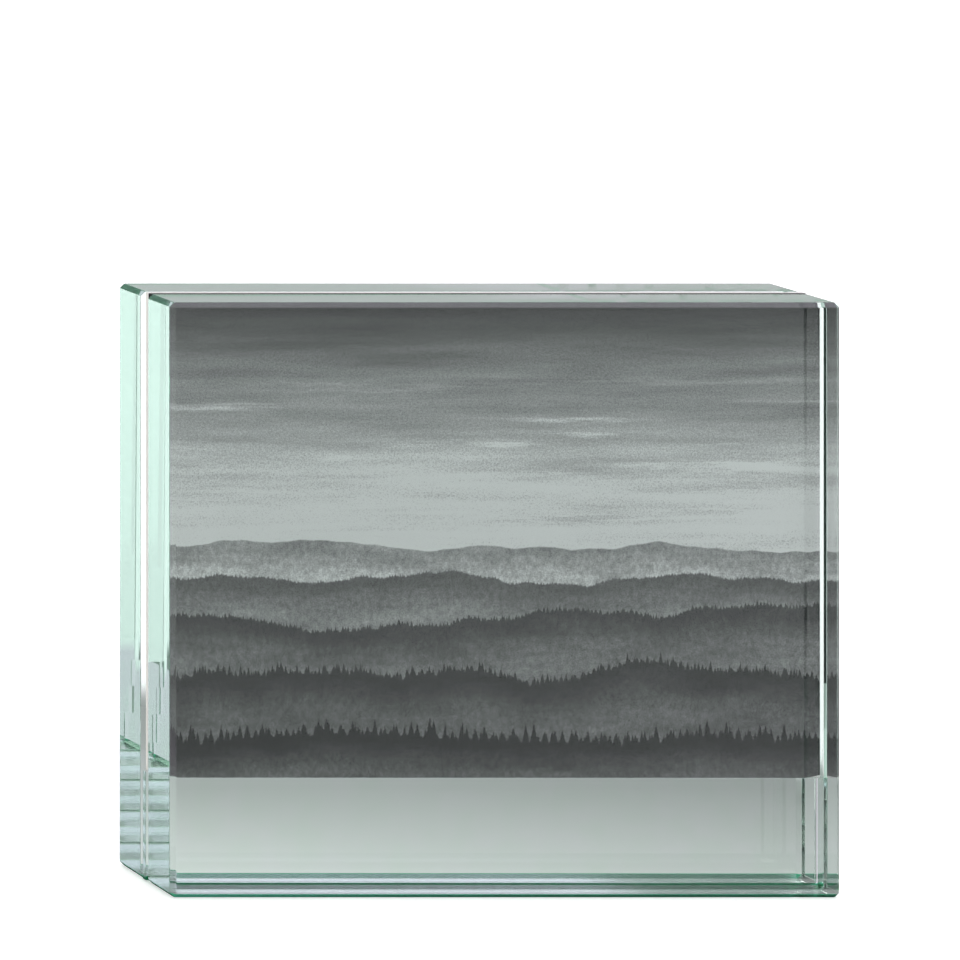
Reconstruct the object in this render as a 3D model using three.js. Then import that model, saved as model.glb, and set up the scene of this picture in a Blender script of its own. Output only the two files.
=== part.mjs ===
// Glass picture frame: two thick clear blocks stand one behind the other with a narrow slot
// between them. A clear spacer, bonded to both along the bottom, holds them apart. A loose print
// and its backing card stand in the slot on the spacer's top edge and lift out upwards.
// Millimetres, +Z up, the front faces -Y. The origin is under the middle of the slot, on the table.
import * as THREE from 'three';
import { ConvexGeometry } from 'three/addons/geometries/ConvexGeometry.js';

// The print, a nominal 13 x 18 cm photograph laid across, trimmed at its sides
const PRINT_WIDTH = 178.5;
const PRINT_HEIGHT = 130;
const PRINT_THICKNESS = 0.25;

// The card behind the print, cut to the print's outline
const CARD_THICKNESS = 1.25;

// Air left in the slot, from front to rear, so that print and card lift out freely
const PRINT_TO_FRONT_GLASS = 0.125;
const CARD_TO_PRINT = 0.125;
const CARD_TO_REAR_GLASS = 0.25;

// How far the glass stands past the sheets at each side
const SIDE_PLAY = 0.75;

// The glass blocks, polished all over, with every edge bevelled at 45 degrees
const BLOCK_THICKNESS = 15;
const EDGE_BEVEL = 1.25;

// The bonded base: its top edge is the ledge that the print stands on
const LEDGE_HEIGHT = 30;
const SPACER_LIFT = 0.5;
const BOND_THICKNESS = 0.125;

// The blocks stand just past the print at the sides and are flush with it at the top
const BLOCK_WIDTH = PRINT_WIDTH + 2 * SIDE_PLAY;
const BLOCK_HEIGHT = LEDGE_HEIGHT + PRINT_HEIGHT;

// What the slot holds sets its width, and the spacer fills it less the two bond films
const SLOT_WIDTH = PRINT_TO_FRONT_GLASS + PRINT_THICKNESS + CARD_TO_PRINT + CARD_THICKNESS
  + CARD_TO_REAR_GLASS;
const SPACER_THICKNESS = SLOT_WIDTH - 2 * BOND_THICKNESS;

// Faces across the depth, from front to rear
const FRONT_GLASS_BACK = -SLOT_WIDTH / 2;
const REAR_GLASS_FRONT = SLOT_WIDTH / 2;
const PRINT_FRONT = FRONT_GLASS_BACK + PRINT_TO_FRONT_GLASS;
const CARD_FRONT = PRINT_FRONT + PRINT_THICKNESS + CARD_TO_PRINT;
const SPACER_FRONT = FRONT_GLASS_BACK + BOND_THICKNESS;

const clearGlass = new THREE.MeshStandardMaterial({
  color: '#d9efe6', roughness: 0.03, metalness: 0, transparent: true, opacity: 0.35,
});
const spacerGlass = new THREE.MeshStandardMaterial({
  color: '#dfe9e8', roughness: 0.05, metalness: 0, transparent: true, opacity: 0.45,
});
const clearBond = new THREE.MeshStandardMaterial({
  color: '#e6e9e2', roughness: 0.1, metalness: 0, transparent: true, opacity: 0.5,
});
const printPaper = new THREE.MeshStandardMaterial({
  color: '#7d7f80', roughness: 0.35, metalness: 0,
});
const whiteCard = new THREE.MeshStandardMaterial({
  color: '#f4f4f1', roughness: 0.85, metalness: 0,
});

// A box about its own centre with all twelve edges bevelled: each corner becomes three points
function bevelledBlock(width, depth, height, bevel) {
  const half = new THREE.Vector3(width / 2, depth / 2, height / 2);
  const points = [];
  for (const x of [-1, 1]) {
    for (const y of [-1, 1]) {
      for (const z of [-1, 1]) {
        const corner = new THREE.Vector3(x, y, z);
        for (const uncut of ['x', 'y', 'z']) {
          const reach = half.clone().subScalar(bevel);
          reach[uncut] = half[uncut];
          points.push(reach.multiply(corner));
        }
      }
    }
  }
  return new ConvexGeometry(points);
}

// A flat sheet standing on edge: front is the place of its front face, bottom that of its foot
function standingSheet(name, material, size, front, bottom) {
  const { width, thickness, height } = size;
  const mesh = new THREE.Mesh(new THREE.BoxGeometry(width, thickness, height), material);
  mesh.name = name;
  mesh.position.set(0, front + thickness / 2, bottom + height / 2);
  return mesh;
}

function glassBlock(name, front) {
  const geometry = bevelledBlock(BLOCK_WIDTH, BLOCK_THICKNESS, BLOCK_HEIGHT, EDGE_BEVEL);
  const mesh = new THREE.Mesh(geometry, clearGlass.clone());
  mesh.name = name;
  mesh.position.set(0, front + BLOCK_THICKNESS / 2, BLOCK_HEIGHT / 2);
  return mesh;
}

// The spacer is flush with the blocks' sides and stops just short of the table
function baseSpacer() {
  const size = {
    width: BLOCK_WIDTH,
    thickness: SPACER_THICKNESS,
    height: LEDGE_HEIGHT - SPACER_LIFT,
  };
  return standingSheet('base_spacer', spacerGlass, size, SPACER_FRONT, SPACER_LIFT);
}

// A cured film covers the flat of a block's inner face, inside its bevels, up to the ledge
function bondFilm(name, front) {
  const size = {
    width: BLOCK_WIDTH - 2 * EDGE_BEVEL,
    thickness: BOND_THICKNESS,
    height: LEDGE_HEIGHT - EDGE_BEVEL,
  };
  return standingSheet(name, clearBond.clone(), size, front, EDGE_BEVEL);
}

function slotSheet(name, material, thickness, front) {
  const size = { width: PRINT_WIDTH, thickness, height: PRINT_HEIGHT };
  return standingSheet(name, material, size, front, LEDGE_HEIGHT);
}

const bondedGlass = new THREE.Group();
bondedGlass.add(
  glassBlock('front_glass', FRONT_GLASS_BACK - BLOCK_THICKNESS),
  glassBlock('rear_glass', REAR_GLASS_FRONT),
  baseSpacer(),
  bondFilm('front_bond_film', FRONT_GLASS_BACK),
  bondFilm('rear_bond_film', REAR_GLASS_FRONT - BOND_THICKNESS),
);

const slotContents = new THREE.Group();
slotContents.add(
  slotSheet('photo_print', printPaper, PRINT_THICKNESS, PRINT_FRONT),
  slotSheet('backing_card', whiteCard, CARD_THICKNESS, CARD_FRONT),
);

const pictureFrame = new THREE.Group();
pictureFrame.add(bondedGlass, slotContents);

export default pictureFrame;
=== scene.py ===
"""Glass picture frame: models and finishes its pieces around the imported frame, then sets the stage.

Metres, +Z up, the picture faces -Y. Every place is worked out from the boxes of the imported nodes.
"""
import math

import bmesh
import bpy
from mathutils import Matrix, Vector


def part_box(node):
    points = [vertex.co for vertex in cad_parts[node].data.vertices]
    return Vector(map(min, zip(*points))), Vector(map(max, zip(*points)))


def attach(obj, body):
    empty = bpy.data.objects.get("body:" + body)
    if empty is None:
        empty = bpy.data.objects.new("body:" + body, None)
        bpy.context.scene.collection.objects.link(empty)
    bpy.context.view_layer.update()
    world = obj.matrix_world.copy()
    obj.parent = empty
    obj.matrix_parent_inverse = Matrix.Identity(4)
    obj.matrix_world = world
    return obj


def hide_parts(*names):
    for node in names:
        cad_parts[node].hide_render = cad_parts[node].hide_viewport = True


bl_info = {
    "name": "Glass Picture Frame",
    "version": (1, 0, 0),
    "blender": (4, 5, 0),
    "location": "3D View > Sidebar > Picture Frame",
    "description": "Models and finishes a picture frame of two bonded glass blocks",
    "category": "Object",
}

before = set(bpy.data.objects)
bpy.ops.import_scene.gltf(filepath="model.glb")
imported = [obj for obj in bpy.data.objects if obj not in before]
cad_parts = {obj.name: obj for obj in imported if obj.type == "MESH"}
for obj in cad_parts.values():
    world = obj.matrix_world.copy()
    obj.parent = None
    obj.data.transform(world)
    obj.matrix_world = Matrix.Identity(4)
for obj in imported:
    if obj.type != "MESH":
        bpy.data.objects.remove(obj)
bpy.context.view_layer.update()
MM = 0.001

FRONT_LOW, FRONT_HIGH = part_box("front_glass")
REAR_LOW, REAR_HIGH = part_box("rear_glass")
SPACER_LOW, SPACER_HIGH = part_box("base_spacer")
FILM_LOW, FILM_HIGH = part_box("front_bond_film")
PRINT_LOW, PRINT_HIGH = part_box("photo_print")
CARD_LOW, CARD_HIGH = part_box("backing_card")
LEDGE = SPACER_HIGH.z
BEVEL = FILM_LOW.x - FRONT_LOW.x

# Loose sheets stand this far off the ledge, and films this far off the glass, so that no faces coincide
SHEET_CLEARANCE = 0.03 * MM
FILM_CLEARANCE = 0.01 * MM


def linear(hex_colour):
    """The linear red, green and blue of an sRGB hex value."""
    parts = [int(hex_colour[i:i + 2], 16) / 255 for i in (1, 3, 5)]
    return tuple(p / 12.92 if p <= 0.04045 else ((p + 0.055) / 1.055) ** 2.4 for p in parts)


def rgba(colour):
    return (*colour, 1.0)


# Settings

class GlassSettings(bpy.types.PropertyGroup):
    bevel: bpy.props.FloatProperty(
        name="Bevel", description="Leg of the polished 45 degree bevel on every edge of a block",
        default=BEVEL, unit="LENGTH")
    arris: bpy.props.FloatProperty(
        name="Arris", description="Width of the softened line where two polished faces meet",
        default=0.14 * MM, unit="LENGTH")
    surface_tint: bpy.props.FloatVectorProperty(
        name="Surface tint", description="Faint tint of the polished faces",
        default=linear("#FBFFFD"), size=3, subtype="COLOR", min=0, max=1)
    foot_tint: bpy.props.FloatVectorProperty(
        name="Foot tint", description="Tint of the finely ground face that the block stands on",
        default=linear("#F8D2EA"), size=3, subtype="COLOR", min=0, max=1)
    foot_bevel_tint: bpy.props.FloatVectorProperty(
        name="Foot bevel tint", description="Green that the ground bevel round the foot gathers",
        default=linear("#148050"), size=3, subtype="COLOR", min=0, max=1)
    depth_tint: bpy.props.FloatVectorProperty(
        name="Depth tint", description="Colour that white light keeps along a deep path in the glass",
        default=linear("#EEFAF5"), size=3, subtype="COLOR", min=0, max=1)
    tint_density: bpy.props.FloatProperty(
        name="Tint density", description="How strongly the depth tint builds up, per metre",
        default=10.5, min=0)


class BondSettings(bpy.types.PropertyGroup):
    rim: bpy.props.FloatProperty(
        name="Rim", description="How far the edge of the cured film wanders",
        default=0.45 * MM, unit="LENGTH")
    clear: bpy.props.FloatVectorProperty(
        name="Clear", description="What the film lets through where it is thinnest",
        default=linear("#FFFFFF"), size=3, subtype="COLOR", min=0, max=1)
    full: bpy.props.FloatVectorProperty(
        name="Full", description="What the film lets through where it is thickest",
        default=linear("#FEFFFE"), size=3, subtype="COLOR", min=0, max=1)


class SheetSettings(bpy.types.PropertyGroup):
    corner_lift: bpy.props.FloatProperty(
        name="Corner lift", description="How far the print's lower right corner is off the ledge",
        default=0.8 * MM, unit="LENGTH")
    paper: bpy.props.FloatVectorProperty(
        name="Paper", description="Colour of the print's paper base",
        default=linear("#F4F4F1"), size=3, subtype="COLOR", min=0, max=1)
    board: bpy.props.FloatVectorProperty(
        name="Board", description="Colour of the facing paper of the backing card",
        default=linear("#F5F5F2"), size=3, subtype="COLOR", min=0, max=1)
    facing: bpy.props.FloatProperty(
        name="Facing", description="Thickness of the facing paper on each side of the backing card",
        default=0.2 * MM, unit="LENGTH")


class StageSettings(bpy.types.PropertyGroup):
    floor_colour: bpy.props.FloatVectorProperty(
        name="Floor", description="Colour of the plain pale floor",
        default=linear("#F4F4F3"), size=3, subtype="COLOR", min=0, max=1)
    floor_glow: bpy.props.FloatProperty(
        name="Floor glow", description="Light that the floor gives off of its own", default=0.62, min=0)
    # Painted shade: how much the floor's glow is turned down in front of the frame
    floor_painted_shade: bpy.props.FloatProperty(
        name="Floor fall", description="How much less of that light the floor gives in front of the frame",
        default=0.14, min=0)
    key_strength: bpy.props.FloatProperty(
        name="Key strength", description="Strength of the large soft key light", default=1.3, min=0)
    fill_strength: bpy.props.FloatProperty(
        name="Fill strength", description="Strength of the softer light from behind", default=13.0, min=0)
    key_spread: bpy.props.FloatProperty(
        name="Key spread", description="Half the angle that the key light takes up, seen from the frame",
        default=math.radians(26), subtype="ANGLE")
    key_elevation: bpy.props.FloatProperty(
        name="Key elevation", description="Height of the key light above the floor",
        default=math.radians(42), subtype="ANGLE")


# Modelling helpers

def deselect_all():
    bpy.ops.object.select_all(action="DESELECT")


def add_block(name, low, high):
    """A cube primitive that fills the box between two corners, with its place in its mesh."""
    deselect_all()
    bpy.ops.mesh.primitive_cube_add(size=1, location=(low + high) / 2)
    block = bpy.context.object
    block.name = name
    block.scale = high - low
    bpy.ops.object.transform_apply(location=True, rotation=True, scale=True)
    return block


def add_upright_grid(name, low, high, columns, rows):
    """A grid primitive that stands at low.y and faces the front, with its place in its mesh."""
    deselect_all()
    bpy.ops.mesh.primitive_grid_add(x_subdivisions=columns, y_subdivisions=rows, size=1)
    sheet = bpy.context.object
    sheet.name = name
    sheet.rotation_euler.x = math.pi / 2
    sheet.scale = (high.x - low.x, high.z - low.z, 1)
    sheet.location = ((low.x + high.x) / 2, low.y, (low.z + high.z) / 2)
    bpy.ops.object.transform_apply(location=True, rotation=True, scale=True)
    return sheet


def select_faces(piece, wanted):
    """In edit mode, selects just the faces for which wanted(centre, normal) holds."""
    bpy.ops.mesh.select_mode(type="FACE")
    bpy.ops.mesh.select_all(action="DESELECT")
    mesh = bmesh.from_edit_mesh(piece.data)
    for face in mesh.faces:
        face.select_set(wanted(face.calc_center_median(), face.normal))
    mesh.select_flush_mode()
    bmesh.update_edit_mesh(piece.data)


def select_points(piece, wanted):
    """In edit mode, selects just the points for which wanted(place) holds."""
    bpy.ops.mesh.select_mode(type="VERT")
    bpy.ops.mesh.select_all(action="DESELECT")
    mesh = bmesh.from_edit_mesh(piece.data)
    for point in mesh.verts:
        point.select_set(wanted(point.co))
    mesh.select_flush_mode()
    bmesh.update_edit_mesh(piece.data)


def apply_modifier(piece, kind, **settings):
    modifier = piece.modifiers.new(kind.title(), kind)
    for name, value in settings.items():
        setattr(modifier, name, value)
    bpy.context.view_layer.objects.active = piece
    bpy.ops.object.modifier_apply(modifier=modifier.name)


def soften_edges(piece, width, segments=2):
    apply_modifier(piece, "BEVEL", width=width, segments=segments, limit_method="ANGLE",
                   angle_limit=math.radians(30), offset_type="OFFSET")


def mark_bonded(piece, covered):
    """Marks the faces that adhesive covers, so that the glass shader can let light straight through."""
    marks = piece.data.attributes.new("bonded", "FLOAT", "FACE")
    for face in piece.data.polygons:
        marks.data[face.index].value = 1.0 if covered(face.center) else 0.0


def place(piece, body, node):
    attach(piece, body)
    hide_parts(node)


# Materials

def add_node(tree, kind, *inputs, by=None, **settings):
    """Adds a node. Its inputs, in order or by name or index, are values, sockets or other nodes."""
    node = tree.nodes.new("ShaderNode" + kind)
    for name, value in settings.items():
        setattr(node, name, value)
    for key, value in (*enumerate(inputs), *(by or {}).items()):
        if isinstance(value, bpy.types.Node):
            value = next(socket for socket in value.outputs if socket.enabled)
        if isinstance(value, bpy.types.NodeSocket):
            tree.links.new(value, node.inputs[key])
        else:
            node.inputs[key].default_value = value
    return node


def ramp_stops(node, stops):
    """Sets a colour ramp's stops from (place, grey) or (place, (red, green, blue)) pairs."""
    elements = node.color_ramp.elements
    for index, (at, value) in enumerate(stops):
        stop = elements[index] if index < 2 else elements.new(at)
        stop.position = at
        stop.color = rgba(value if isinstance(value, (tuple, list)) else (value,) * 3)


def new_material(name):
    """A material with an empty node tree, its tree, its output node and its Object coordinates."""
    material = bpy.data.materials.new(name)
    material.use_nodes = True
    tree = material.node_tree
    tree.nodes.clear()
    output = add_node(tree, "OutputMaterial")
    where = add_node(tree, "TexCoord").outputs["Object"]
    return material, tree, output, where


def polished_glass(settings):
    """Float glass, polished, green in depth: its sides glow mint and its ground foot shows a green line.

    Faces marked bonded pass light straight on into the neighbour that adhesive joins them to.
    """
    material, tree, output, where = new_material("polished_float_glass")
    height = add_node(tree, "SeparateXYZ", where).outputs["Z"]
    low = add_node(tree, "MapRange", height, 0.0, 4 * MM)
    tint = add_node(tree, "ValToRGB", low)
    ramp_stops(tint, (
        (0.0, tuple(settings.foot_tint)), (0.02, tuple(settings.foot_tint)),
        (0.03, tuple(settings.foot_bevel_tint)), (0.32, tuple(settings.foot_bevel_tint)),
        (0.33, tuple(settings.surface_tint)), (1.0, tuple(settings.surface_tint))))
    ground = add_node(tree, "MapRange", height, 1.4 * MM, 1.3 * MM, 0.0, 0.2)
    glass = add_node(tree, "BsdfPrincipled", by={
        "Base Color": tint, "Roughness": ground, "IOR": 1.52, "Transmission Weight": 1.0})
    through = add_node(tree, "BsdfTransparent")
    bonded = add_node(tree, "Attribute", attribute_name="bonded")
    both = add_node(tree, "MixShader", bonded.outputs["Fac"], glass, through)
    depth = add_node(tree, "VolumeAbsorption", by={
        "Color": rgba(settings.depth_tint), "Density": settings.tint_density})
    tree.links.new(both.outputs[0], output.inputs["Surface"])
    tree.links.new(depth.outputs[0], output.inputs["Volume"])
    return material


def cured_adhesive(settings):
    """Clear cured adhesive: all but invisible, with faint patches where the film is thicker."""
    material, tree, output, where = new_material("clear_cured_adhesive")
    patches = add_node(tree, "TexNoise", where, by={"Scale": 1 / (9 * MM), "Detail": 3.0})
    thick = add_node(tree, "MapRange", patches, 0.35, 0.7)
    tint = add_node(tree, "Mix", thick, by={6: rgba(settings.clear), 7: rgba(settings.full)},
                    data_type="RGBA")
    film = add_node(tree, "BsdfTransparent", tint)
    tree.links.new(film.outputs[0], output.inputs["Surface"])
    return material


def fibrous_paper(name, colour, roughness, fibre):
    """Uncoated paper: soft white with faint cloudy formation and a fine fibre tooth, fibre metres long."""
    material, tree, output, where = new_material(name)
    cloud = add_node(tree, "TexNoise", where, by={"Scale": 1 / (fibre * 12), "Detail": 4.0})
    tooth = add_node(tree, "TexNoise", where, by={"Scale": 1 / fibre, "Detail": 3.0, "Roughness": 0.65})
    both = add_node(tree, "Math", cloud, tooth, operation="MULTIPLY")
    shade = add_node(tree, "MapRange", both, 0.12, 0.4)
    dim = [part * 0.9 for part in colour]
    tint = add_node(tree, "Mix", shade, by={6: rgba(dim), 7: rgba(colour)}, data_type="RGBA")
    bump = add_node(tree, "Bump", by={"Height": tooth, "Distance": fibre * 0.08, "Strength": 0.5})
    paper = add_node(tree, "BsdfPrincipled", by={"Base Color": tint, "Roughness": roughness, "Normal": bump})
    tree.links.new(paper.outputs[0], output.inputs["Surface"])
    return material


# Ridges of the printed hills, far to near: crest height, its swing and length, the width and height of
# its trees, its tone at the crest and down in the mist, and the depth of that change; all sizes in mm
RIDGES = (
    (63, 9, 80, 0, 0, 0.26, 0.52, 12),
    (54, 11, 62, 0.7, 0.8, 0.09, 0.24, 12),
    (43, 12, 66, 1.0, 1.7, 0.04, 0.17, 14),
    (28, 13, 58, 1.5, 3.2, 0.02, 0.13, 15),
    (10, 9, 70, 2.3, 5.4, 0.01, 0.14, 14),
)

# How light the print is, the tone that its paper limits it to, and how softly it nears that limit
PRINT_EXPOSURE = 1.46
PAPER_WHITE = 0.95
WHITE_ROLL_OFF = 0.12

# Painted shade on the floor along Y in front of the frame: it dims from START to FULL, recovers from MOST to
# END
PAINTED_SHADE_START, PAINTED_SHADE_FULL, PAINTED_SHADE_MOST, PAINTED_SHADE_END = -0.095, -0.12, -0.15, -0.55

# Cut edges along Y and X of the card painted with shadow, each with its soft border, and the lean of its
# painted lilac end
PAINTED_CARD_FRONT, PAINTED_CARD_REAR, PAINTED_CARD_SIDE = (-0.118, -0.1), (0.15, 0.125), (0.2, 0.18)
PAINTED_LILAC_LIGHT = (0.95, 0.84, 0.97, 1.0)
LILAC_LEAN = -0.613
LILAC_BORDER = 1.7 * MM

# How quickly the light from behind falls off around its middle
FILL_FOCUS = 100.0


def misty_hills_print():
    """Satin photo paper with a grey print of misty hills: streaked sky, haze, dark woods, film grain and
    painted shade along its top edge.
    """
    material, tree, output, where = new_material("satin_photo_print")
    at = add_node(tree, "SeparateXYZ", where)
    across = add_node(tree, "Math", at.outputs["X"], 1 / MM, operation="MULTIPLY")
    up = add_node(tree, "Math", at.outputs["Z"], 1 / MM, -PRINT_LOW.z / MM, operation="MULTIPLY_ADD")
    tall = (PRINT_HIGH.z - PRINT_LOW.z) / MM

    def clouds(width, height, detail, seed, middle, swing):
        """A cloudy pattern with patches of a width and height in mm, and its middle and swing of tone."""
        spot = add_node(tree, "CombineXYZ",
                        add_node(tree, "Math", across, 1 / width, operation="MULTIPLY"),
                        add_node(tree, "Math", up, 1 / height, operation="MULTIPLY"), seed)
        cloud = add_node(tree, "TexNoise", spot, by={"Scale": 1.0, "Detail": detail, "Roughness": 0.6})
        return add_node(tree, "MapRange", cloud, 0.0, 1.0, middle - swing, middle + swing, clamp=False)

    def woods(width, height, seed):
        """The height in mm of a row of conifers, each a narrow spire of its own size."""
        spot = add_node(tree, "Math", across, 1 / width, seed, operation="MULTIPLY_ADD")
        row = add_node(tree, "TexVoronoi", by={"W": spot, "Scale": 1.0}, voronoi_dimensions="1D")
        spire = add_node(tree, "MapRange", row.outputs["Distance"], 0.0, 0.42, height, 0.0)
        own = add_node(tree, "MapRange", row.outputs["Color"], 0.15, 0.85, 0.25, 1.0)
        return add_node(tree, "Math", spire, own, operation="MULTIPLY")

    sky = add_node(tree, "ValToRGB", add_node(tree, "Math", up, tall, operation="DIVIDE"))
    # The printed sky darkens upward; its last stops, near black at the top edge, are painted shade where the
    # glass's top edge shades the print
    ramp_stops(sky, ((0.5, 0.7), (0.58, 0.66), (0.66, 0.5), (0.74, 0.31), (0.87, 0.18), (0.94, 0.07),
                     (1.0, 0.012)))
    streaks = clouds(70, 6, 6, 3.1, 1.0, 0.85)
    wisps = add_node(tree, "MapRange", clouds(60, 4, 5, 8.4, 0.0, 1.0), 0.1, 0.5, 0.0, 0.42,
                     interpolation_type="SMOOTHSTEP")
    lit = add_node(tree, "MapRange", up, 116, 88, 0.0, 1.0, interpolation_type="SMOOTHSTEP")
    tone = add_node(tree, "Math", sky, streaks, operation="MULTIPLY")
    tone = add_node(tree, "Math", wisps, lit, tone, operation="MULTIPLY_ADD")
    for number, (crest, swing, reach, width, height, dark, mist, depth) in enumerate(RIDGES):
        seed = 5.3 * number + 1.7
        line = clouds(reach, 1e6, 4, seed, crest, swing)
        edge = line
        if width:
            tall_trees = woods(width, height, seed)
            small_trees = woods(width * 0.7, height * 0.7, seed + 9)
            rows = add_node(tree, "Math", tall_trees, small_trees, operation="MAXIMUM")
            branches = clouds(0.5, 0.6, 3, seed, 0.0, height * 0.35)
            ragged = add_node(tree, "Math", rows, branches, operation="ADD")
            edge = add_node(tree, "Math", line, ragged, operation="ADD")
        inside = add_node(tree, "Math", edge, up, operation="SUBTRACT")
        share = add_node(tree, "MapRange", inside, -0.2, 0.2)
        below = add_node(tree, "Math", line, up, operation="SUBTRACT")
        haze = add_node(tree, "MapRange", below, 0.0, depth, dark, mist, interpolation_type="SMOOTHSTEP")
        drift = add_node(tree, "Math", haze, clouds(26, 5, 5, seed + 2, 1.0, 0.7), operation="MULTIPLY")
        layer = add_node(tree, "Math", drift, clouds(1.3, 1.9, 5, seed + 4, 1.0, 0.8), operation="MULTIPLY")
        tone = add_node(tree, "Mix", share, by={2: tone, 3: layer})
    tone = add_node(tree, "Math", tone, clouds(0.42, 0.42, 2, 2.2, 1.0, 0.7), operation="MULTIPLY")
    tone = add_node(tree, "Math", tone, PRINT_EXPOSURE, operation="MULTIPLY")
    tone = add_node(tree, "Math", tone, PAPER_WHITE, WHITE_ROLL_OFF, operation="SMOOTH_MIN")
    grey = add_node(tree, "CombineColor", tone, tone, tone)
    sheen = add_node(tree, "MapRange", clouds(0.6, 0.6, 3, 4.4, 0.0, 1.0), -0.5, 0.5, 0.34, 0.42)
    paper = add_node(tree, "BsdfPrincipled", by={
        "Base Color": grey, "Roughness": sheen, "Specular IOR Level": 0.15})
    tree.links.new(paper.outputs[0], output.inputs["Surface"])
    return material


def light_table(settings):
    """Matt white sheet of a light table: hardly any shadow, faint cloudiness, and painted shade in front of
    the frame.
    """
    material, tree, output, where = new_material("white_light_table")
    cloud = add_node(tree, "TexNoise", where, by={"Scale": 1 / 0.4, "Detail": 3.0})
    dim = [part * 0.985 for part in settings.floor_colour]
    tint = add_node(tree, "Mix", cloud, by={6: rgba(dim), 7: rgba(settings.floor_colour)}, data_type="RGBA")
    y = add_node(tree, "SeparateXYZ", where).outputs["Y"]
    # Painted shade: the glow is turned down in a band in front of the frame
    fall = add_node(tree, "MapRange", y, PAINTED_SHADE_END, PAINTED_SHADE_MOST, 0.0, settings.floor_painted_shade)
    ahead = add_node(tree, "MapRange", y, PAINTED_SHADE_START, PAINTED_SHADE_FULL)
    painted_shade = add_node(tree, "Math", fall, ahead, operation="MULTIPLY")
    glow = add_node(tree, "Math", settings.floor_glow, painted_shade, operation="SUBTRACT")
    sheet = add_node(tree, "BsdfPrincipled", by={
        "Base Color": tint, "Roughness": 0.7, "Emission Color": tint, "Emission Strength": glow})
    tree.links.new(sheet.outputs[0], output.inputs["Surface"])
    return material


def black_velvet():
    """Black cloth of a studio flag, which gives glass its dark edge lines."""
    material, tree, output, where = new_material("black_flag_cloth")
    pile = add_node(tree, "TexNoise", where, by={"Scale": 1 / (0.8 * MM), "Detail": 2.0})
    tint = add_node(tree, "Mix", pile, by={6: rgba(linear("#020202")), 7: rgba(linear("#080808"))},
                    data_type="RGBA")
    cloth = add_node(tree, "BsdfPrincipled", by={"Base Color": tint, "Roughness": 0.95})
    tree.links.new(cloth.outputs[0], output.inputs["Surface"])
    return material


def painted_light_card(name, end):
    """Glowing grey card, unaffected by the lamps, that only light inside the glass meets: a painted shadow,
    paler close by, and painted lilac light past its end.
    """
    material, tree, output, where = new_material(name)
    at = add_node(tree, "SeparateXYZ", where)
    x, y = at.outputs["X"], at.outputs["Y"]
    # Painted shadow: paler near the frame, darker away from it along Y and towards +X
    away = add_node(tree, "MapRange", add_node(tree, "Math", y, operation="ABSOLUTE"), 0.0, 0.15)
    tone = add_node(tree, "ValToRGB", away)
    ramp_stops(tone, ((0.1, (0.62, 0.64, 0.64)), (0.21, (0.59, 0.611, 0.611)), (0.7, (0.39, 0.406, 0.406)),
                      (1.0, (0.36, 0.377, 0.375))))
    painted_shade_slope = add_node(tree, "Math", x, -1.5, 1.05, operation="MULTIPLY_ADD")
    shaded = add_node(tree, "Mix", 1.0, by={6: tone, 7: painted_shade_slope}, data_type="RGBA", blend_type="MULTIPLY")
    # Painted lilac light past the card's leaning end
    start = add_node(tree, "MapRange", y, 0.0, -0.02, end, end - 0.08)
    along = add_node(tree, "Math", y, LILAC_LEAN, x, operation="MULTIPLY_ADD")
    past_end = add_node(tree, "MapRange", along, start, end + LILAC_BORDER, interpolation_type="SMOOTHSTEP")
    tint = add_node(tree, "Mix", past_end, by={6: shaded, 7: PAINTED_LILAC_LIGHT}, data_type="RGBA")
    glow = add_node(tree, "Emission", tint)
    gone = add_node(tree, "BsdfTransparent")
    near = add_node(tree, "MapRange", y, *PAINTED_CARD_FRONT, interpolation_type="SMOOTHSTEP")
    far = add_node(tree, "MapRange", y, *PAINTED_CARD_REAR, interpolation_type="SMOOTHSTEP")
    aside = add_node(tree, "Math", x, operation="ABSOLUTE")
    wide = add_node(tree, "MapRange", aside, *PAINTED_CARD_SIDE, interpolation_type="SMOOTHSTEP")
    deep = add_node(tree, "Math", near, far, operation="MULTIPLY")
    kept = add_node(tree, "Math", deep, wide, operation="MULTIPLY")
    both = add_node(tree, "MixShader", kept, gone, glow)
    tree.links.new(both.outputs[0], output.inputs["Surface"])
    return material


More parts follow.
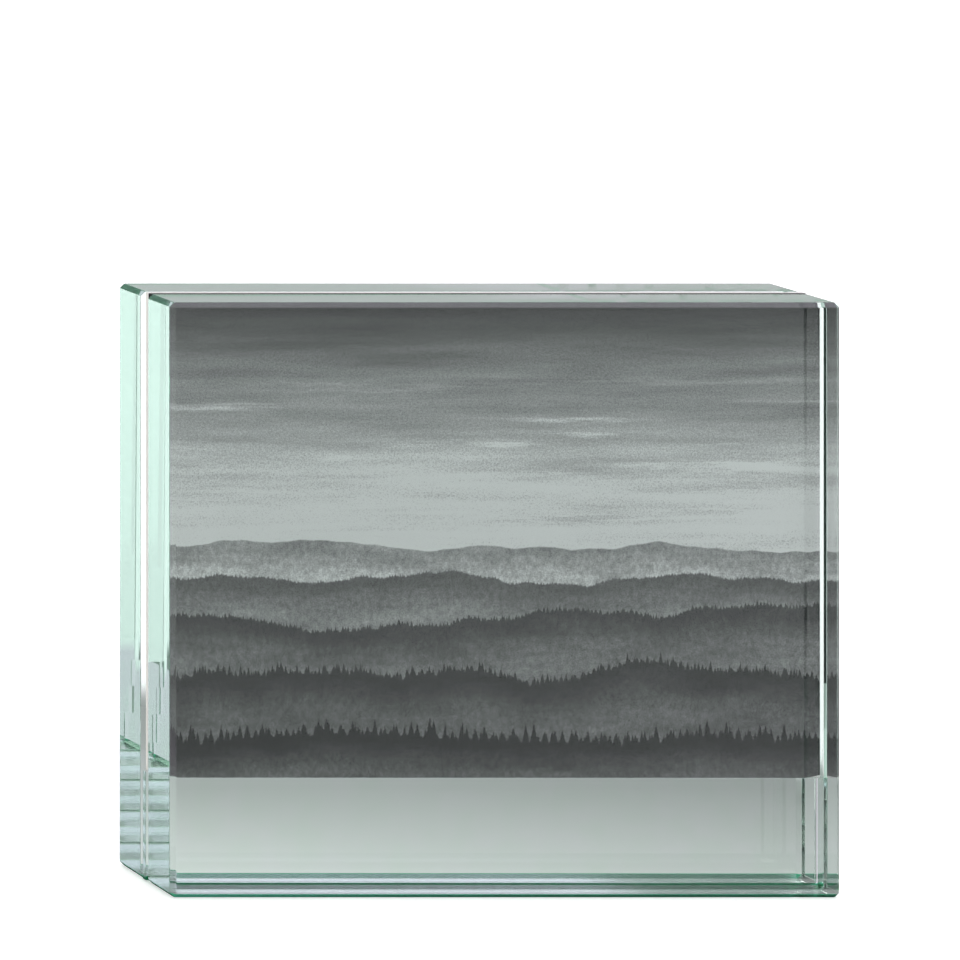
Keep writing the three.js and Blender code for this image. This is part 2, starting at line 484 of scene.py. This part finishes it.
def studio_world(settings):
    """Studio around the floor: pale sweep at the horizon, dim room above it, soft top light and key."""
    world = bpy.data.worlds.new("studio")
    world.use_nodes = True
    tree = world.node_tree
    tree.nodes.clear()
    direction = add_node(tree, "TexCoord").outputs["Generated"]
    part = add_node(tree, "SeparateXYZ", direction)
    height = add_node(tree, "Math", part.outputs["Z"], 0.5, 0.5, operation="MULTIPLY_ADD")
    room = add_node(tree, "ValToRGB", height)
    top_light = (0.36, 0.38, 0.4)
    ramp_stops(room, ((0.448, 0.02), (0.461, 1.0), (0.535, 1.0), (0.57, 0.66), (0.627, 0.6), (0.65, 0.1),
                      (0.75, 0.1), (0.82, top_light), (1.0, top_light)))
    sweep = add_node(tree, "ValToRGB", height)
    ramp_stops(sweep, ((0.499, 0.0), (0.5, 1.0), (0.61, 1.0), (0.64, 0.0)))
    left = add_node(tree, "MapRange", part.outputs["X"], -0.3, -1.0)
    sky = add_node(tree, "Mix", left, by={6: room, 7: sweep}, data_type="RGBA", blend_type="ADD")
    rise = settings.key_elevation
    key = (0.0, -math.cos(rise), math.sin(rise))
    fill = (0.0, math.cos(rise), math.sin(rise))
    facing = add_node(tree, "VectorMath", direction, fill, operation="DOT_PRODUCT")
    ahead = add_node(tree, "Math", facing, 0.0, operation="MAXIMUM")
    lobe = add_node(tree, "Math", ahead, FILL_FOCUS, operation="POWER")
    sky = add_node(tree, "Mix", lobe, by={6: sky, 7: rgba([settings.fill_strength] * 3)}, data_type="RGBA",
                   blend_type="ADD")
    edge = math.cos(settings.key_spread * 1.2)
    middle = math.cos(settings.key_spread * 0.8)
    lilac, black = (1.34, 1.16, 1.46), (0.0, 0.0, 0.0)
    # Each panel's direction, the cosines at the outside and inside of its soft border, and its colour
    panels = (
        (key, edge, middle, [settings.key_strength] * 3),
        ((0.5, 0.0, 0.866), 0.85, 0.96, lilac),
        ((0.403, 0.885, 0.233), 0.9973, 0.999, lilac),
        ((-0.865, 0.367, 0.342), 0.956, 0.974, black),
        ((-0.865, -0.367, 0.342), 0.956, 0.974, black),
    )
    for towards, outer, inner, colour in panels:
        facing = add_node(tree, "VectorMath", direction, towards, operation="DOT_PRODUCT")
        panel = add_node(tree, "MapRange", facing, outer, inner, interpolation_type="SMOOTHSTEP")
        sky = add_node(tree, "Mix", panel, by={6: sky, 7: rgba(colour)}, data_type="RGBA")
    glow = add_node(tree, "Background", sky)
    add_node(tree, "OutputWorld", glow)
    return world


# Operators

class FRAME_OT_glass_blocks(bpy.types.Operator):
    """Models the two polished blocks, with the stretch of their inner face that is bonded"""
    bl_idname = "frame.glass_blocks"
    bl_label = "Glass blocks"

    def execute(self, context):
        settings = context.scene.frame_glass
        glass = polished_glass(settings)
        for node, low, high, inner in (
                ("front_glass", FRONT_LOW, FRONT_HIGH, FRONT_HIGH.y),
                ("rear_glass", REAR_LOW, REAR_HIGH, REAR_LOW.y)):
            block = add_block(node + "_block", low, high)
            block.data.materials.append(glass)
            bpy.ops.object.mode_set(mode="EDIT")
            bpy.ops.mesh.select_all(action="SELECT")
            bpy.ops.mesh.bevel(offset=settings.bevel, segments=1, affect="EDGES")
            select_faces(block, lambda centre, normal: abs(centre.y - inner) < FILM_CLEARANCE)
            bpy.ops.mesh.bisect(plane_co=(0, 0, LEDGE), plane_no=(0, 0, 1))
            bpy.ops.object.mode_set(mode="OBJECT")
            soften_edges(block, settings.arris)
            mark_bonded(block, lambda centre: abs(centre.y - inner) < FILM_CLEARANCE and centre.z < LEDGE)
            place(block, "glass_frame", node)
        return {"FINISHED"}


class FRAME_OT_base_spacer(bpy.types.Operator):
    """Models the clear spacer strip, bonded on both sides inside the blocks' bevels"""
    bl_idname = "frame.base_spacer"
    bl_label = "Base spacer"

    def execute(self, context):
        settings = context.scene.frame_glass
        spacer = add_block("base_spacer_strip", SPACER_LOW, SPACER_HIGH)
        spacer.data.materials.append(polished_glass(settings))
        soften_edges(spacer, settings.arris / 2)
        bpy.ops.object.mode_set(mode="EDIT")
        for edge_of_bond, across in (((FILM_LOW.x, 0, 0), (1, 0, 0)), ((FILM_HIGH.x, 0, 0), (1, 0, 0)),
                                     ((0, 0, FILM_LOW.z), (0, 0, 1))):
            select_faces(spacer, lambda centre, normal: abs(normal.y) > 0.99)
            bpy.ops.mesh.bisect(plane_co=edge_of_bond, plane_no=across)
        bpy.ops.object.mode_set(mode="OBJECT")
        flat = SPACER_HIGH.y - FILM_CLEARANCE
        mark_bonded(spacer, lambda centre: (
            abs(centre.y) > flat and abs(centre.x) < FILM_HIGH.x and centre.z > FILM_LOW.z))
        place(spacer, "glass_frame", "base_spacer")
        return {"FINISHED"}


class FRAME_OT_bond_films(bpy.types.Operator):
    """Models the two films of clear adhesive, with the wandering rim that they set with"""
    bl_idname = "frame.bond_films"
    bl_label = "Bond films"

    def execute(self, context):
        settings = context.scene.frame_bond
        adhesive = cured_adhesive(settings)
        for seed, node in enumerate(("front_bond_film", "rear_bond_film")):
            low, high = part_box(node)
            inset = Vector((settings.rim, -FILM_CLEARANCE, settings.rim))
            film = add_upright_grid(node + "_layer", low + inset, high - inset, 118, 19)
            film.data.materials.append(adhesive)
            front = low.y + FILM_CLEARANCE
            bpy.ops.object.mode_set(mode="EDIT")
            bpy.ops.mesh.select_mode(type="VERT")
            bpy.ops.mesh.select_all(action="DESELECT")
            bpy.ops.mesh.select_non_manifold()
            bpy.ops.transform.vertex_random(offset=settings.rim, uniform=1.0, normal=0.0, seed=seed)
            bpy.ops.mesh.select_all(action="SELECT")
            bpy.ops.transform.resize(value=(1, 0, 1), center_override=(0, front, 0))
            bpy.ops.object.mode_set(mode="OBJECT")
            apply_modifier(film, "SOLIDIFY", thickness=high.y - low.y - 2 * FILM_CLEARANCE, offset=-1.0)
            place(film, "glass_frame", node)
        return {"FINISHED"}


class FRAME_OT_photo_print(bpy.types.Operator):
    """Models the loose print, with a lower corner that has lifted off the ledge"""
    bl_idname = "frame.photo_print"
    bl_label = "Photo print"

    def execute(self, context):
        settings = context.scene.frame_sheets
        foot = PRINT_LOW.z + SHEET_CLEARANCE
        columns, rows = 90, 65
        sheet = add_upright_grid("photo_print_sheet", Vector((PRINT_LOW.x, PRINT_LOW.y, foot)), PRINT_HIGH,
                                 columns, rows)
        sheet.data.materials.append(misty_hills_print())
        sheet.data.materials.append(fibrous_paper("photo_paper_back", settings.paper, 0.6, 0.35 * MM))
        step = (PRINT_HIGH.x - PRINT_LOW.x) / columns
        bpy.ops.object.mode_set(mode="EDIT")
        for count, share in ((1.5, 0.4), (0.5, 0.6)):
            inner = PRINT_HIGH.x - count * step
            select_points(sheet, lambda at: at.x > inner and at.z < foot + step / 2)
            bpy.ops.transform.translate(value=(0, 0, share * settings.corner_lift))
        bpy.ops.object.mode_set(mode="OBJECT")
        apply_modifier(sheet, "SOLIDIFY", thickness=PRINT_HIGH.y - PRINT_LOW.y, offset=-1.0,
                       material_offset=1, material_offset_rim=1)
        place(sheet, "print", "photo_print")
        return {"FINISHED"}


class FRAME_OT_backing_card(bpy.types.Operator):
    """Models the white card behind the print: a pulp core between two facing papers"""
    bl_idname = "frame.backing_card"
    bl_label = "Backing card"

    def execute(self, context):
        settings = context.scene.frame_sheets
        card = add_block("backing_card_board", CARD_LOW + Vector((0, 0, SHEET_CLEARANCE)), CARD_HIGH)
        card.data.materials.append(fibrous_paper("mount_board_facing", settings.board, 0.85, 0.5 * MM))
        core_colour = [part * tint for part, tint in zip(settings.board, (0.97, 0.95, 0.9))]
        card.data.materials.append(fibrous_paper("mount_board_core", core_colour, 0.95, 0.2 * MM))
        soften_edges(card, settings.facing / 2)
        front, rear = CARD_LOW.y + settings.facing, CARD_HIGH.y - settings.facing
        bpy.ops.object.mode_set(mode="EDIT")
        for seam in (front, rear):
            bpy.ops.mesh.select_all(action="SELECT")
            bpy.ops.mesh.bisect(plane_co=(0, seam, 0), plane_no=(0, 1, 0))
        select_faces(card, lambda centre, normal: front < centre.y < rear)
        card.active_material_index = 1
        bpy.ops.object.material_slot_assign()
        bpy.ops.object.mode_set(mode="OBJECT")
        place(card, "card", "backing_card")
        return {"FINISHED"}


class FRAME_OT_stage(bpy.types.Operator):
    """Sets the pale floor, the studio light and the camera"""
    bl_idname = "frame.stage"
    bl_label = "Stage"

    def hide_from_room(self, card):
        """Leaves a card to the light that comes out of the glass, and out of the picture itself."""
        card.visible_camera = card.visible_diffuse = card.visible_glossy = card.visible_shadow = False

    def add_floor(self, name, side, height, material):
        deselect_all()
        bpy.ops.mesh.primitive_plane_add(size=side)
        sheet = bpy.context.object
        sheet.name = name
        sheet.location.z = height
        bpy.ops.object.transform_apply(location=True, rotation=True, scale=True)
        sheet.data.materials.append(material)
        return sheet

    def execute(self, context):
        settings = context.scene.frame_stage
        floor = self.add_floor("floor", 20, FRONT_LOW.z - 0.05 * MM, light_table(settings))
        floor.visible_glossy = False
        # Cards that glow with painted light and shade, seen only through the glass
        card = self.add_floor("painted_light_card", 0.44, FRONT_LOW.z - 0.03 * MM, painted_light_card("painted_light_card", 0.0788))
        self.hide_from_room(card)
        card = add_block("painted_lilac_light_card", Vector((0.1, 0.012, 0.003)), Vector((0.1004, 0.0352, 0.0225)))
        card.data.materials.append(painted_light_card("painted_lilac_light_card", 0.0))
        self.hide_from_room(card)
        black = black_velvet()
        for y in (-0.076, 0.076):
            middle, half = Vector((-0.2, y, 0.085)), Vector((0.0005, 0.025, 0.085))
            flag = add_block("flag", middle - half, middle + half)
            flag.data.materials.append(black)
            self.hide_from_room(flag)
        context.scene.world = studio_world(settings)

        context.scene.view_settings.view_transform = "Standard"
        cycles = context.scene.cycles
        cycles.max_bounces = 64
        cycles.glossy_bounces = 48
        cycles.transmission_bounces = 48
        cycles.transparent_max_bounces = 64

        lens = Vector((-0.7024, -1.3326, 0.3923))
        aim = Vector((-0.0072, FRONT_LOW.y, 0.1125))
        taken_in = 0.2578
        camera = bpy.data.cameras.new("view_camera")
        camera.sensor_width = 36
        camera.lens = camera.sensor_width * (lens - aim).length / taken_in
        stand = bpy.data.objects.new("view_camera", camera)
        context.scene.collection.objects.link(stand)
        context.scene.camera = stand
        back = (lens - aim).normalized()
        stand.parent = floor
        stand.matrix_parent_inverse = floor.matrix_world.inverted() @ Matrix((
            (1, 0, back.x, lens.x),
            (0, 0, back.y, lens.y),
            (0, 1, back.z, lens.z),
            (0, 0, 0, 1)))
        return {"FINISHED"}


class FRAME_PT_panel(bpy.types.Panel):
    """Lists the steps in the order in which the frame is made"""
    bl_idname = "FRAME_PT_panel"
    bl_label = "Picture Frame"
    bl_space_type = "VIEW_3D"
    bl_region_type = "UI"
    bl_category = "Picture Frame"

    def draw(self, context):
        for step in STEPS:
            self.layout.operator(step.bl_idname)


SETTINGS = {"frame_glass": GlassSettings, "frame_bond": BondSettings, "frame_sheets": SheetSettings,
            "frame_stage": StageSettings}
STEPS = (FRAME_OT_glass_blocks, FRAME_OT_base_spacer, FRAME_OT_bond_films, FRAME_OT_photo_print,
         FRAME_OT_backing_card, FRAME_OT_stage)


def register():
    for kind in (*SETTINGS.values(), *STEPS, FRAME_PT_panel):
        bpy.utils.register_class(kind)
    for name, kind in SETTINGS.items():
        setattr(bpy.types.Scene, name, bpy.props.PointerProperty(type=kind))


def unregister():
    for name in SETTINGS:
        delattr(bpy.types.Scene, name)
    for kind in reversed((*SETTINGS.values(), *STEPS, FRAME_PT_panel)):
        bpy.utils.unregister_class(kind)


def main():
    register()
    for step in STEPS:
        group, name = step.bl_idname.split(".")
        getattr(getattr(bpy.ops, group), name)()


if __name__ == "__main__":
    main()
